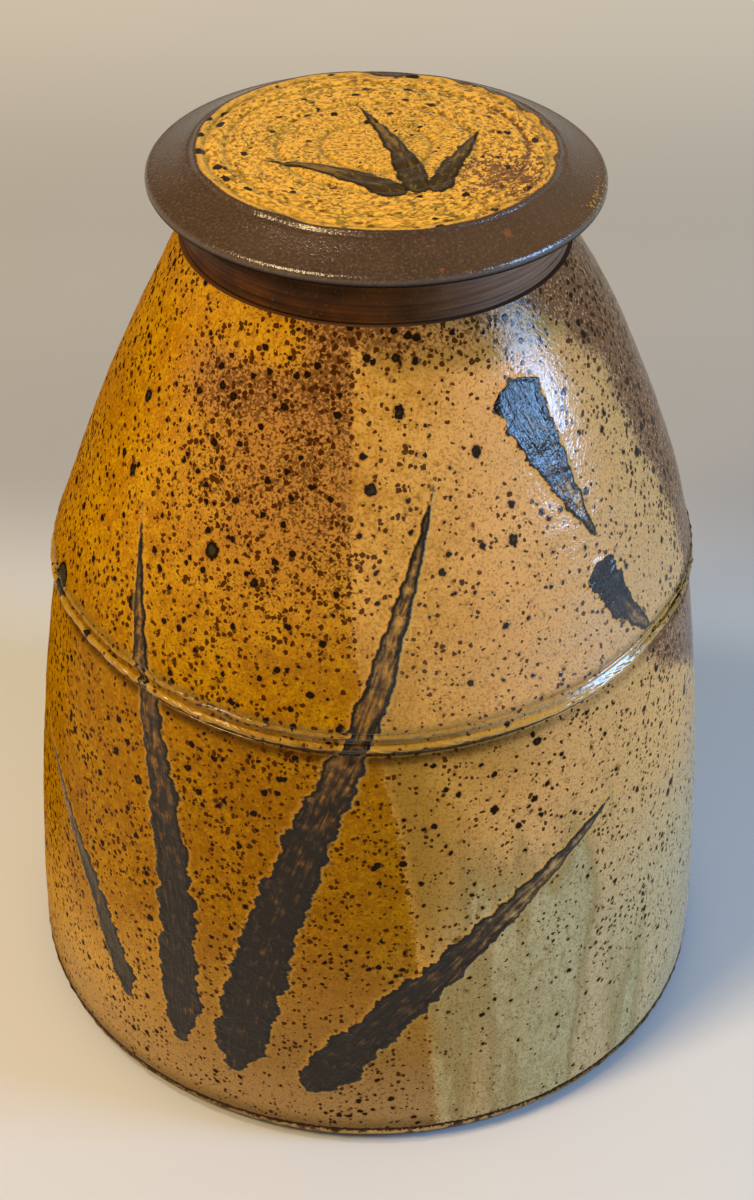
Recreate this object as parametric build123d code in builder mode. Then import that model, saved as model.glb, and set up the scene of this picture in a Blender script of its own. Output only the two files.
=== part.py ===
from build123d import *
import os

# A wheel-thrown stoneware jar with a loose overhanging lid, in millimetres.
# Z is the throwing axis and z = 0 is the table.
# The jar is two thrown sections luted rim to rim, a clay cordon pressed round
# the seam, and a collar set on the shoulder. The lid is a bevelled plate with a
# locating ring on its underside that drops into the collar.

# Jar wall
belly_radius = 116.7  # widest ring of the jar, just above the foot
belly_height = 10.0
joint_radius = 102.4  # wall radius where the two sections meet
seam_height = 165.0  # plane where the two sections meet
neck_radius = 57.0  # outside of the collar
neck_height = 273.5  # top of the shoulder, where the collar stands
wall = 7.0
lower_bulge = 2.8  # how far the lower wall swells past a straight line
upper_bulge = 3.4  # how far the shoulder swells past a straight line

# Floor and foot
floor_height = 9.0  # inside floor above the table
floor_round = 12.0  # inside corner between floor and wall
foot_inset = 4.7  # foot edge inside the belly
foot_bevel = 2.5  # bare bevel trimmed round the foot
foot_ring = 14.0  # width of the ring that stands on the table
foot_recess = 2.0  # hollow trimmed into the underside
recess_slope = 3.0  # run of the hollow's sloping side

# Cordon over the seam
cordon_height = 8.6
cordon_bite = 2.0  # depth of the groove that the coil is pressed into
main_bead = 4.4  # height of the lower, larger bead
main_proud = 1.9
bead_groove = 1.6  # flat channel between the two beads
upper_proud = 0.9

# Collar
collar_height = 16.5
collar_wall = 6.5
shoulder_ledge = 1.2  # step of the shoulder outside the collar
rim_round = 1.6
throwing_lines = 3  # grooves left by the fingers, low on the collar
line_depth = 0.3
line_radius = 1.0
line_spacing = 2.4
first_line = 2.4  # lowest groove above the shoulder

# Lid
lid_overhang = 10.0  # lid edge outside the collar
lid_height = 10.0  # from the seat to the top of the glazed disc
lid_edge = 3.2  # upright height of the lid's outer edge
bevel_run = 14.0  # width of the dark bevel, seen from above
edge_round = 1.3
bevel_round = 1.5
lid_hollow = 3.0  # hollow turned into the underside, inside the locating ring
hollow_round = 2.0
ring_radii = (16.0, 29.0, 43.5)  # throwing rings on the top
ring_depth = 0.45
ring_radius = 2.2

# Locating ring under the lid
lid_clearance = 1.2  # gap all round between locating ring and collar
flange_depth = 13.0
flange_wall = 5.0
flange_round = 1.5

# Sizes that follow
foot_radius = belly_radius - foot_inset
bevel_top_radius = foot_radius + foot_bevel
cordon_bottom = seam_height - cordon_height / 2
cordon_top = seam_height + cordon_height / 2
cordon_seat_radius = joint_radius - cordon_bite
inner_belly_radius = belly_radius - wall
inner_joint_radius = joint_radius - wall
mouth_radius = neck_radius - collar_wall
shoulder_radius = neck_radius + shoulder_ledge
seat_height = neck_height + collar_height  # lid's seat on the collar's rim
lid_radius = neck_radius + lid_overhang
disc_radius = lid_radius - bevel_run
flange_radius = mouth_radius - lid_clearance
flange_bore = flange_radius - flange_wall

os.makedirs("parts", exist_ok=True)


# Lower section: floor, foot and the wall up to the seam
with BuildPart() as lower_section:
    with BuildSketch(Plane.XZ):
        with BuildLine():
            foot_inner = foot_radius - foot_ring
            foot = Polyline(
                (0, floor_height),
                (0, foot_recess),
                (foot_inner - recess_slope, foot_recess),
                (foot_inner, 0),
                (foot_radius, 0),
                (bevel_top_radius, foot_bevel),
            )
            TangentArc((belly_radius, belly_height), foot @ 1, tangent=(0, -1))
            SagittaArc((belly_radius, belly_height), (joint_radius, cordon_bottom), -lower_bulge)
            seam = Polyline(
                (joint_radius, cordon_bottom),
                (cordon_seat_radius, cordon_bottom),
                (cordon_seat_radius, seam_height),
                (inner_joint_radius, seam_height),
            )
            floor_edge = (inner_belly_radius - floor_round, floor_height)
            corner = JernArc(floor_edge, (1, 0), floor_round, 90)
            SagittaArc(corner @ 1, seam @ 1, -lower_bulge)
            Line(corner @ 0, foot @ 0)
        make_face()
    revolve(axis=Axis.Z)

# Upper section: the shoulder, from the seam to the collar
with BuildPart() as upper_section:
    with BuildSketch(Plane.XZ):
        with BuildLine():
            outside = SagittaArc(
                (joint_radius, cordon_top), (shoulder_radius, neck_height), -upper_bulge
            )
            inside = SagittaArc(
                (inner_joint_radius, seam_height), (mouth_radius, neck_height), -upper_bulge
            )
            Line(outside @ 1, inside @ 1)
            Polyline(
                outside @ 0,
                (cordon_seat_radius, cordon_top),
                (cordon_seat_radius, seam_height),
                inside @ 0,
            )
        make_face()
    revolve(axis=Axis.Z)

# Cordon: a coil pressed over the seam and drawn into a double bead
with BuildPart() as joint_cordon:
    with BuildSketch(Plane.XZ):
        with BuildLine():
            main_top = cordon_bottom + main_bead
            upper_bottom = main_top + bead_groove
            Line((cordon_seat_radius, cordon_bottom), (joint_radius, cordon_bottom))
            SagittaArc((joint_radius, cordon_bottom), (joint_radius, main_top), -main_proud)
            Line((joint_radius, main_top), (joint_radius, upper_bottom))
            SagittaArc((joint_radius, upper_bottom), (joint_radius, cordon_top), -upper_proud)
            Polyline(
                (joint_radius, cordon_top),
                (cordon_seat_radius, cordon_top),
                (cordon_seat_radius, cordon_bottom),
            )
        make_face()
    revolve(axis=Axis.Z)

# Collar: the bare neck ring that carries the lid
with BuildPart() as neck_collar:
    with BuildSketch(Plane.XZ):
        with Locations(((mouth_radius + neck_radius) / 2, neck_height)):
            Rectangle(collar_wall, collar_height, align=(Align.CENTER, Align.MIN))
        line_centre = neck_radius + line_radius - line_depth
        for line in range(throwing_lines):
            with Locations((line_centre, neck_height + first_line + line * line_spacing)):
                Circle(line_radius, mode=Mode.SUBTRACT)
    revolve(axis=Axis.Z)
    rim_edges = neck_collar.edges().filter_by(GeomType.CIRCLE)
    fillet(rim_edges.filter_by_position(Axis.Z, seat_height, seat_height), rim_round)

# Lid plate: glazed disc, dark bevel and the flat seat underneath
with BuildPart() as lid_plate:
    lid_top = seat_height + lid_height
    edge_top = seat_height + lid_edge
    hollow_top = seat_height + lid_hollow
    with BuildSketch(Plane.XZ) as plate_profile:
        with BuildLine():
            Polyline(
                (0, hollow_top),
                (0, lid_top),
                (disc_radius, lid_top),
                (lid_radius, edge_top),
                (lid_radius, seat_height),
                (flange_bore, seat_height),
                (flange_bore, hollow_top),
                (0, hollow_top),
            )
        make_face()
        corners = plate_profile.vertices()
        fillet(corners.filter_by_position(Axis.X, lid_radius, lid_radius), edge_round)
        fillet(corners.filter_by_position(Axis.X, disc_radius, disc_radius), bevel_round)
        roof = corners.filter_by_position(Axis.X, flange_bore, flange_bore)
        fillet(roof.sort_by(Axis.Y)[-1], hollow_round)
        for radius in ring_radii:
            with Locations((radius, lid_top + ring_radius - ring_depth)):
                Circle(ring_radius, mode=Mode.SUBTRACT)
    revolve(axis=Axis.Z)

# Locating ring: stands down from the plate into the collar
with BuildPart() as lid_flange:
    with BuildSketch(Plane.XZ) as flange_profile:
        with Locations(((flange_bore + flange_radius) / 2, seat_height)):
            Rectangle(flange_wall, flange_depth, align=(Align.CENTER, Align.MAX))
        fillet(flange_profile.vertices().group_by(Axis.Y)[0], flange_round)
    revolve(axis=Axis.Z)

lower_section.part.label = "lower_section"
upper_section.part.label = "upper_section"
joint_cordon.part.label = "joint_cordon"
neck_collar.part.label = "neck_collar"
lid_plate.part.label = "lid_plate"
lid_flange.part.label = "lid_flange"

for piece in (lower_section, upper_section, joint_cordon, neck_collar, lid_plate, lid_flange):
    export_step(piece.part, f"parts/{piece.part.label}.step")
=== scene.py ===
import math
from functools import partial
from types import SimpleNamespace

import bpy
import numpy as np
from mathutils import Matrix, Vector


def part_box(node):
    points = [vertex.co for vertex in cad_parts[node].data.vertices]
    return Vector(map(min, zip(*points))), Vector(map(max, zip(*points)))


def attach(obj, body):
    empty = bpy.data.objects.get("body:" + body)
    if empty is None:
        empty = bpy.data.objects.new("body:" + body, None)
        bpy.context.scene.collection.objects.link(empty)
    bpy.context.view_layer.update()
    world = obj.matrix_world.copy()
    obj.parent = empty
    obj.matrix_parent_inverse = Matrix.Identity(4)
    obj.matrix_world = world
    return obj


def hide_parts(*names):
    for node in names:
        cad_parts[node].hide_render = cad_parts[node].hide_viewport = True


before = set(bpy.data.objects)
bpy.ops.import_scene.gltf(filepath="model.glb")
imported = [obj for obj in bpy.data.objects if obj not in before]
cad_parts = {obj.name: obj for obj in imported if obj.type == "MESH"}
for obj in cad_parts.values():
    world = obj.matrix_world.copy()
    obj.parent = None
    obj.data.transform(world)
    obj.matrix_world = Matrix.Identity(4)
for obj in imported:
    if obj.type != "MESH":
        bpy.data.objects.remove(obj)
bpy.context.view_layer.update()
mm = 0.001
print("frame loaded with", len(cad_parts), "nodes")


# Small helpers

def linearColour(code):
    # sRGB hex to the linear colour that Blender's sockets hold
    channels = [int(code[i:i + 2], 16) / 255 for i in (1, 3, 5)]
    return [c / 12.92 if c <= 0.04045 else ((c + 0.055) / 1.055) ** 2.4 for c in channels] + [1.0]


def perMm(size):
    # texture scale for a pattern whose features are this many millimetres across
    return 1 / (size * mm)


# settings that many nodes share
soft = {"interpolation_type": "SMOOTHSTEP"}
times, plus = {"operation": "MULTIPLY"}, {"operation": "ADD"}
timesPlus, larger = {"operation": "MULTIPLY_ADD"}, {"operation": "MAXIMUM"}


def addNode(tree, kind, feeds, out=0, **settings):
    # adds one node, sets it up, and feeds its inputs, in order or by key, from sockets or constants
    node = tree.nodes.new("ShaderNode" + kind)
    for key, value in settings.items():
        setattr(node, key, value)
    for socket, source in feeds.items() if isinstance(feeds, dict) else enumerate(feeds):
        if isinstance(source, bpy.types.NodeSocket):
            tree.links.new(source, node.inputs[socket])
        else:
            node.inputs[socket].default_value = source
    return node.outputs[out] if node.outputs else node


def smooth(low, high, value):
    t = np.clip((value - low) / (high - low), 0, 1)
    return t * t * (3 - 2 * t)


def bell(offset, width):
    return np.exp(-(offset / width) ** 2)


def wrapped(degrees):
    # the same turn, between -180 and 180 degrees
    return (degrees + 180) % 360 - 180


def ripple(position, waves, seed):
    # hand-made unevenness: a few sine waves of the given lengths, between about -1 and 1
    rng = np.random.default_rng(seed)
    total = np.zeros_like(position)
    for wave in waves:
        total += np.sin(position * 2 * math.pi / wave + rng.uniform(0, 2 * math.pi))
    return total / len(waves)


def ringRipple(angle, counts, seed):
    # the same round a full turn, with whole numbers of waves so that it closes
    return ripple(angle, [2 * math.pi / count for count in counts], seed)


# Sizes read from the frame, in millimetres

def reach(node):
    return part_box(node)[1].x / mm


def bottom(node):
    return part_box(node)[0].z / mm


def top(node):
    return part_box(node)[1].z / mm


bellyRadius = reach("lower_section")
jointRadius = reach("upper_section")
seamHeight = top("lower_section")
cordonLow = bottom("joint_cordon")
cordonHigh = top("joint_cordon")
shoulderTop = top("upper_section")
collarRadius = reach("neck_collar")
seatHeight = top("neck_collar")
lidRadius = reach("lid_plate")
lidTop = top("lid_plate")
flangeRadius = reach("lid_flange")
flangeFoot = bottom("lid_flange")


# Outlines and turning

def bow(start, end, rise, steps, isBead=False):
    # a shallow arc, or a half-round bead, from start to end that swells to the right of its direction
    t = np.linspace(0, 1, steps + 1)[:, None]
    start, end = np.array(start, float), np.array(end, float)
    run = end - start
    side = np.array((run[1], -run[0])) / np.hypot(*run)
    if isBead:
        return (start + end) / 2 - run / 2 * np.cos(math.pi * t) + side * rise * np.sin(math.pi * t)
    return start + run * t + side * rise * 4 * t * (1 - t)


def arc(centre, radius, start, end, steps):
    # part of a circle or an ellipse, between two angles in degrees from straight outward
    a = np.radians(np.linspace(start, end, steps + 1))
    return np.array(centre, float) + np.array(radius) * np.stack((np.cos(a), np.sin(a)), 1)


def line(start, end, steps):
    t = np.linspace(0, 1, steps + 1)[:, None]
    return np.array(start, float) * (1 - t) + np.array(end, float) * t


def joined(*runs):
    # runs of points end to end, each shared point kept once
    return np.concatenate([runs[0]] + [run[1:] for run in runs[1:]])


# thrown by hand, so never quite round: waves round the pot, mm, phase, and radians per mm of height
jarSway = [(2, 0.28, 0.9, 1 / 120), (3, 0.16, -0.6, -1 / 70)]
lidSway = [(2, 0.18, -0.5, 0), (3, 0.12, 1.4, 0)]
# the seam dips and climbs: degrees, width in degrees and mm; the fade is by distance from it, mm
seamRise = {"swells": [(-2, 35, -4.3), (-54, 14, 1.2), (64, 16, 3.2)], "fade": (8, 40)}
# and the shoulder leans to the right by this many mm, between these heights
shoulderLean = {"mm": 1.3, "from": (160, 200), "to": (274, 250)}
calmRadius = 20  # nearer the axis than this the wobble dies away, mm
creaseAngle = 48  # edges that turn more than this stay sharp, degrees


def sway(waves, angle, height):
    return sum(size * np.sin(count * angle + phase + drift * height) for count, size, phase, drift in waves)


def jarWobble(angle, height):
    lean = shoulderLean
    outward = lean["mm"] * np.sin(angle) * smooth(*lean["from"], height) * smooth(*lean["to"], height)
    outward += sway(jarSway, angle, height)
    upward = np.zeros_like(outward)
    for place, width, rise in seamRise["swells"]:
        upward += rise * bell(np.degrees(angle) - place, width)
    near, far = seamRise["fade"]
    return outward, upward * smooth(far, near, np.abs(height - seamHeight))


def lidWobble(angle, height):
    return sway(lidSway, angle, height), 0


def turn(name, strips, columns, wobble, relief=None):
    # spins an outline of (finish, points, shown) strips into one closed mesh
    points, finishes, shown = [], [], []
    for finish, strip, isShown in strips:
        skip = 1 if points else 0
        finishes += [finish] * (len(strip) - 1)
        shown += [isShown] * (len(strip) - skip)
        points += [tuple(p) for p in strip[skip:]]
    isRing = np.allclose(points[0], points[-1])
    if isRing:
        points, shown = points[:-1], shown[:-1]
    outline = np.array(points)
    count = len(outline)
    before = np.roll(outline, 1, 0)
    after = np.roll(outline, -1, 0)
    if not isRing:
        before[0], after[-1] = outline[0], outline[-1]
    run = after - before
    normal = np.stack((run[:, 1], -run[:, 0]), 1) / np.hypot(run[:, 0], run[:, 1])[:, None]
    angle = np.linspace(-math.pi, math.pi, columns, endpoint=False)
    angles, heights = np.meshgrid(angle, outline[:, 1])
    radii = np.repeat(outline[:, 0:1], columns, 1)
    raised = np.zeros_like(radii)
    fields = {}
    if relief:
        raised, fields = relief(angles, heights, radii)
        raised = raised * np.array(shown, float)[:, None]
    outward, upward = wobble(angles, heights)
    radii = radii + normal[:, 0:1] * raised
    radii = radii + outward * np.minimum(radii / calmRadius, 1)
    heights = heights + normal[:, 1:2] * raised + upward
    grid = np.stack((radii * np.sin(angles), -radii * np.cos(angles), heights), 2)
    onAxis = outline[:, 0] < 1e-6
    number = np.zeros((count, columns), int)
    places, keep = [], []
    total = 0
    for row in range(count):
        size = 1 if onAxis[row] else columns
        number[row] = total + (np.arange(columns) if size > 1 else 0)
        places.append(grid[row, :size])
        keep.append((row, size))
        total += size
    rows = range(count if isRing else count - 1)
    faces, slots = [], []
    for row in rows:
        low, high = number[row], number[(row + 1) % count]
        lowNext, highNext = np.roll(low, -1), np.roll(high, -1)
        if onAxis[row]:
            corners = np.stack((low, highNext, high), 1)
        elif onAxis[(row + 1) % count]:
            corners = np.stack((low, lowNext, high), 1)
        else:
            corners = np.stack((low, lowNext, highNext, high), 1)
        faces += corners.tolist()
        slots += [finishes[row]] * columns
    mesh = bpy.data.meshes.new(name)
    mesh.from_pydata((np.concatenate(places) * mm).tolist(), [], faces)
    mesh.polygons.foreach_set("use_smooth", [True] * len(faces))
    mesh.polygons.foreach_set("material_index", slots)
    mesh.set_sharp_from_angle(angle=math.radians(creaseAngle))
    for field, values in fields.items():
        flat = np.concatenate([values[row, :size] for row, size in keep])
        mesh.attributes.new(field, "FLOAT", "POINT").data.foreach_set("value", flat.astype(np.float32))
    mesh.update()
    piece = bpy.data.objects.new(name, mesh)
    bpy.context.scene.collection.objects.link(piece)
    return piece


# Brushwork: reeds on the wall and a small sprig on the lid
# Each blade is four points of a curve, its full width in mm and a seed. The points are in degrees and mm
# of height on the wall, and in mm across the lid.

reedSpray = {
    "blades": [
        ([(-21, 26), (-18, 92), (-4, 158), (13, 236)], 20.0, 3),
        ([(-31, 30), (-30, 98), (-36, 150), (-50, 212)], 16.0, 8),
        ([(-9, 24), (2, 60), (21, 98), (45, 122)], 17.0, 13),
        ([(-42, 36), (-47, 66), (-56, 90), (-72, 108)], 11.0, 21),
        ([(34, 256), (37, 242), (41, 226), (47, 206)], 17.0, 34),
        ([(45, 200), (47, 190), (51, 178), (57, 166)], 13.0, 40),
        ([(150, 30), (154, 110), (166, 170), (174, 238)], 19.0, 55),
        ([(140, 34), (136, 90), (126, 140), (108, 178)], 15.0, 60),
        ([(160, 28), (174, 70), (194, 104), (220, 126)], 16.0, 66),
    ],
    "samples": 150,
    "ragged": 0.1,  # slow unevenness of the edges, as a share of the half width
    "height": 0.34,  # how far the iron stands proud, mm
}

lidSprig = {
    "blades": [
        ([(8, -31), (-2, -22), (-14, -14), (-33, -11)], 10.0, 5),
        ([(12, -30), (10, -12), (4, 6), (-6, 27)], 9.5, 9),
        ([(16, -29), (20, -16), (25, -3), (30, 12)], 8.0, 17),
    ],
    "samples": 110,
    "ragged": 0.12,
    "height": 0.22,
}


# how the brush lands, as a share of the stroke, and the powers by which it spreads, tapers and lifts
brushPress = {"land": 0.09, "spread": 0.5, "taper": 1.7, "lift": 0.9}
brushFields = " brush across along dry"


def bladeCurve(points, width, samples):
    t = np.linspace(0, 1, samples)
    weights = ((1 - t) ** 3, 3 * t * (1 - t) ** 2, 3 * t * t * (1 - t), t ** 3)
    curve = sum(w[:, None] * np.array(p, float) for w, p in zip(weights, points))
    b = brushPress
    press = np.minimum(1, (t / b["land"]) ** b["spread"]) * (1 - t ** b["taper"]) ** b["lift"]
    return t, curve, width / 2 * press


def brushField(work, sideways, upward, perUnit, isRound):
    # at every vertex: mm inside the nearest mark's edge, mm across and along it, and how dry the brush was
    inside = np.full(sideways.shape, -30.0)
    across, along, dry = (np.zeros_like(inside) for _ in range(3))

    def gap(u):
        return (wrapped(sideways - u) if isRound else sideways - u) * perUnit

    for points, width, seed in work["blades"]:
        t, curve, half = bladeCurve(points, width, work["samples"])
        heading = np.gradient(curve, axis=0)
        near = np.full(sideways.shape, 1e9)
        index = np.zeros(sideways.shape, int)
        for i, (u, v) in enumerate(curve):
            distance = gap(u) ** 2 + (upward - v) ** 2
            index = np.where(distance < near, i, index)
            near = np.minimum(distance, near)
        du, dv = gap(curve[index, 0]), upward - curve[index, 1]
        headU, headV = heading[index, 0] * perUnit, heading[index, 1]
        length = np.hypot(headU, headV)
        offset = (headU * dv - headV * du) / length
        ahead = (headU * du + headV * dv) / length
        isEnd = (index == 0) | (index == work["samples"] - 1)
        away = np.where(isEnd, np.sqrt(near), np.abs(offset))
        scale = np.median(perUnit)
        run = np.cumsum(np.hypot(heading[:, 0] * scale, heading[:, 1]))
        left = half * (1 + work["ragged"] * ripple(run, (9.0, 17.0, 31.0), seed))
        right = half * (1 + work["ragged"] * ripple(run, (11.0, 19.0, 37.0), seed + 1))
        depth = np.where(offset > 0, left[index], right[index]) - away
        best = depth > inside
        inside = np.where(best, depth, inside)
        across = np.where(best, offset, across)
        along = np.where(best, run[index] + ahead + seed * 37.0, along)
        dry = np.where(best, smooth(0.25, 1.0, t[index]), dry)
    return {"brush": inside, "across": across, "along": along, "dry": dry}


# Where each glaze lies on the wall

glazeMap = {
    # left-hand edge of the second dip: height, x in mm
    "dipLine": [(0, 25), (42, 21), (85, 15.7), (124, 10.5), (152, 5), (195, -5), (280, -6)],
    "dipTop": 266.5,  # the second dip stops short of the collar
    # its right-hand edge: height, degrees
    "dipEnd": [(84, 130), (112, 95), (125, 80), (140, 70), (150, 58), (160, 54), (168, 66),
               (175, 74), (190, 73), (205, 70), (220, 68), (248, 63), (262, 56), (274, 42)],
    "feather": 0.22,  # the top and right-hand edges fade out; this is how gently
    # the largest iron spots: degrees, height, radius and how tall each is for its width
    "blots": [(-45.9, 185, 2.5, 1.1), (-30.9, 210, 2.3, 1.1), (-70.5, 167.5, 5.2, 1.2), (-6.8, 126, 1.8, 1),
              (-4.6, 170.6, 1.5, 1), (20.8, 134, 1.6, 1), (6, 253, 1.5, 1.2), (27.7, 216, 1.6, 1),
              (-60, 238, 1.7, 1.2), (22.6, 241, 1.4, 1.3), (-21.4, 205, 1.4, 1), (-56.3, 218, 1.5, 1.5),
              (13.2, 211, 1.2, 1), (-46.5, 132, 1.6, 1), (128, 196, 2.2, 1.1), (243, 118, 2.0, 1.2),
              (202, 226, 1.7, 1), (96, 72, 1.8, 1)],
    "footLine": 8.2,  # the glaze thins to a dark line this far above the table, mm
    "footGroove": (0.4, 0.5, 0.3),  # the line is cut this far below that, with this width and depth, mm
    "roll": (2.2, 1.0, 0.55),  # and lower still the glaze gathers in a lumpy roll: mm below, width, height
    "seamRings": [(1.4, 0.9, -0.5), (3.8, 0.8, 0.2)],  # under the cordon: mm below it, width and height
    # the fingers' rings, faint and a little tilted under the glaze: height in mm, spacings in mm, seed
    "throwing": [(0.07, (6.3, 8.9, 14.0), 31), (0.1, (27.0, 43.0), 32)],
    "throwingTilt": 3.5,
    "backDip": (158.0, 236.0),  # degrees, where the same dip shows again at the back
    "gloss": (0.04, 0.5),  # specular level of the first glaze, and of the second where it lies thick
    # celadon runs: height of the top, then left and right edges in degrees, at the top and at the table
    "tongues": [
        (76, (9, 8), (16, 16)),
        (104, (17, 22), (39, 35)),
        (44, (46, 45), (51, 50)),
        (120, (166, 170), (184, 180)),
        (90, (194, 197), (220, 214)),
    ],
    "rustBack": (246, 24),  # a rusty patch at the back: degrees, width in degrees
    "deepSide": (300, 40),  # and a deep amber one on the left
    "gather": (4, 26),  # where the roll at the foot is thickest and carries a painted highlight: degrees, width
}
aboveSeam = ("height", seamHeight, seamHeight + 6)
belowSeam = ("height", seamHeight + 6, seamHeight)

# where the glaze changes: a strength, then soft edges as (measure, from, to); the measures are degrees round
# the jar, height in mm, mm inside the second dip, and degrees past that dip's right-hand edge
glazeZones = {
    "above": (1.0, aboveSeam),
    "beside": (1.0, ("turn", -64, -14), ("turn", 4, -4), ("height", 172, 238)),
    "shoulder": (1.15, ("turn", -60, -38), ("turn", 4, -4), ("height", 236, 250)),
    "clear": (0.8, ("height", 256, 265), ("turn", -12, -24)),
    "rightEdge": (1.5, ("past", -9, 5), ("turn", 178, 148), ("height", 84, 116)),
    "rustBack": (0.9, ("height", 120, 200)),
    "collarLeft": (0.55, ("turn", 14, 4)),
    "collarRight": (0.3, ("turn", 60, 100)),
    "collarFront": (1.0, ("turn", -22, -10), ("turn", 178, 140)),
    "collar": (1.0, ("height", 256, 268)),
    "deepFront": (1.0, belowSeam, ("turn", -86, -24), ("height", 24, 90), ("turn", 60, 10)),
    "deepSide": (0.8, belowSeam),
    "deepLow": (0.65, aboveSeam, ("height", 214, 170), ("turn", -110, -70), ("turn", 10, -10)),
    # painted shade: amber darker where the wall turns away on the left
    "deepAway": (0.5, aboveSeam, ("turn", -54, -74), ("turn", -130, -100)),
    "pale": (1.0, ("turn", -16, -60), ("turn", -176, -140)),
    "olive": (1.0, belowSeam, ("dip", 30, 4), ("dip", -2, 3), ("height", 64, 110), ("turn", 38, 16)),
    "alongDip": (0.55, aboveSeam, ("dip", 28, 2), ("dip", -2, 3), ("height", 206, 170), ("turn", 38, 16)),
    # partly painted shade: an olive band just under the collar
    "underCollar": (0.85, ("height", 258, 266), ("turn", -6, 4), ("turn", 84, 64)),
    "blush": (1.0, ("turn", 3, 30), ("turn", 120, 100)),
    "grey": (1.0, ("height", 140, 60)),
    "greyEdge": (18, ("height", 60, 110)),
    "fewSpecks": (0.13, ("dip", -2, 4)),
    "seamFades": (0.6, ("turn", 12, 40)),
    "thick": (1.0, aboveSeam, ("dip", -4, 6)),
    "dull": (1.0, ("turn", -40, -66), ("turn", -150, -120)),
}


def tongueField(turned, heights, perDegree):
    # mm inside the nearest run of celadon
    inside = np.full(turned.shape, -30.0)
    for start, left, right in glazeMap["tongues"]:
        fall = np.clip((start - heights) / start, 0, 1)
        leftEdge, rightEdge = (high + (low - high) * fall for high, low in (left, right))
        depth = np.minimum(turned - leftEdge, rightEdge - turned) * perDegree
        inside = np.maximum(inside, np.minimum(depth, (start - heights) * 0.25))
    return inside


def wallFields(angles, heights, radii):
    g = SimpleNamespace(**glazeMap)
    degrees = np.degrees(angles)
    turned = degrees % 360
    perDegree = radii * math.pi / 180
    front = radii * np.sin(angles) - np.interp(heights, *zip(*g.dipLine))
    front = np.where(np.abs(degrees) < 90, front, np.sign(degrees) * 40)
    dipEnd = np.interp(heights, *zip(*g.dipEnd)) + 1.5 * ripple(heights, (19, 41), 2)
    front = np.minimum(front, (dipEnd - degrees) * perDegree * g.feather)
    start, end = g.backDip
    back = np.minimum(turned - start, end - turned) * perDegree + 3 * ripple(heights, (57, 91), 4)
    dip = np.clip(np.maximum(front, back), -40, 40)
    dipTop = g.dipTop + 1.5 * ringRipple(angles, (3, 7, 12), 6)
    dip = np.minimum(dip, (dipTop - heights) * g.feather)

    measures = {"turn": degrees, "height": heights, "dip": dip, "past": degrees - dipEnd}
    zones = {}
    for name, (strength, *edges) in glazeZones.items():
        zones[name] = strength
        for measure, low, high in edges:
            zones[name] = zones[name] * smooth(low, high, measures[measure])
    z = SimpleNamespace(**zones)
    beside = np.maximum(z.beside, z.shoulder) * (1 - z.clear)
    back = z.rustBack * bell(turned - g.rustBack[0], g.rustBack[1])
    # a rust band under the collar, partly real rust and partly painted shade beneath the collar
    collar = (0.2 + (0.45 + z.collarLeft + z.collarRight) * z.collarFront) * z.collar
    rust = np.maximum.reduce((beside, z.rightEdge, back, collar))
    side = z.deepSide * bell(wrapped(turned - g.deepSide[0]), g.deepSide[1])
    # darker amber below the cordon and on the left; where the wall turns away on the left it is painted
    # shade
    deep = np.maximum.reduce((z.deepFront, side, z.deepLow, z.deepAway))
    tan = smooth(104, 34, heights + 0.35 * np.abs(wrapped(degrees + 10)))
    olive = np.maximum.reduce((z.olive, z.underCollar, z.alongDip))
    crowd = 0.16 * np.minimum(rust, 1) - (0.14 + 0.12 * z.pale) * tan - z.fewSpecks
    crowd = crowd + 0.05 * deep - 0.1 * olive
    foot = g.footLine + 0.5 * ringRipple(angles, (5, 9, 17, 31), 12) - heights
    blots = np.full_like(dip, -9.0)
    for place, height, size, tall in g.blots:
        sideways = wrapped(degrees - place) * perDegree
        blots = np.maximum(blots, size - np.hypot(sideways, (heights - height) / tall))
    thin, thick = g.gloss
    fields = {
        "dip": dip,
        "rust": rust,
        "deep": deep,
        "tan": tan,
        "pale": z.pale,
        "olive": olive,
        "blush": z.blush,
        "grey": z.grey * smooth(0, 4 + z.greyEdge, dip),
        "runs": tongueField(turned, heights, perDegree),
        "crowd": crowd,
        "pool": z.above * bell(np.maximum(heights - cordonHigh, 0), 1.1),
        # painted shade: darker under the cordon's bead, together with the dark glaze gathered there; less of
        # it on the right
        "seam": (1 - z.seamFades) * bell(heights - cordonLow + 1.6, 1.7),
        "bead": np.zeros_like(dip),
        "foot": np.clip(foot, -40, 20),
        # the roll and its painted highlight, strongest at the front
        "gather": 0.3 + 0.7 * bell(degrees - g.gather[0], g.gather[1]),
        "gloss": (thin + (thick - thin) * z.thick) * (1 - z.dull),
        "blots": blots,
    }
    return fields | brushField(reedSpray, degrees, heights, perDegree, True)


def wallRelief(angles, heights, radii):
    g = SimpleNamespace(**glazeMap)
    fields = wallFields(angles, heights, radii)
    brush, foot = fields["brush"], fields["foot"]
    climb = heights + g.throwingTilt * np.sin(angles + 0.6)
    raised = reedSpray["height"] * (0.75 * smooth(-0.4, 1.3, brush) + 0.4 * bell(brush - 1.2, 1.1))
    for size, spacings, seed in g.throwing:
        raised = raised + size * ripple(climb, spacings, seed)
    for below, width, size in g.seamRings:
        raised = raised + size * bell(cordonLow - below - heights, width)
    lumps = 0.7 + 0.5 * ringRipple(angles, (61, 83, 113, 149), 14)
    place, width, size = g.roll
    raised = raised + size * lumps * bell(foot - place, width)
    place, width, depth = g.footGroove
    raised = raised - depth * bell(foot - place, width)
    quiet = smooth(0, 1.0, np.abs(heights - seamHeight) - (cordonHigh - cordonLow) / 2)
    return raised * quiet, fields


# Jar

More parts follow.
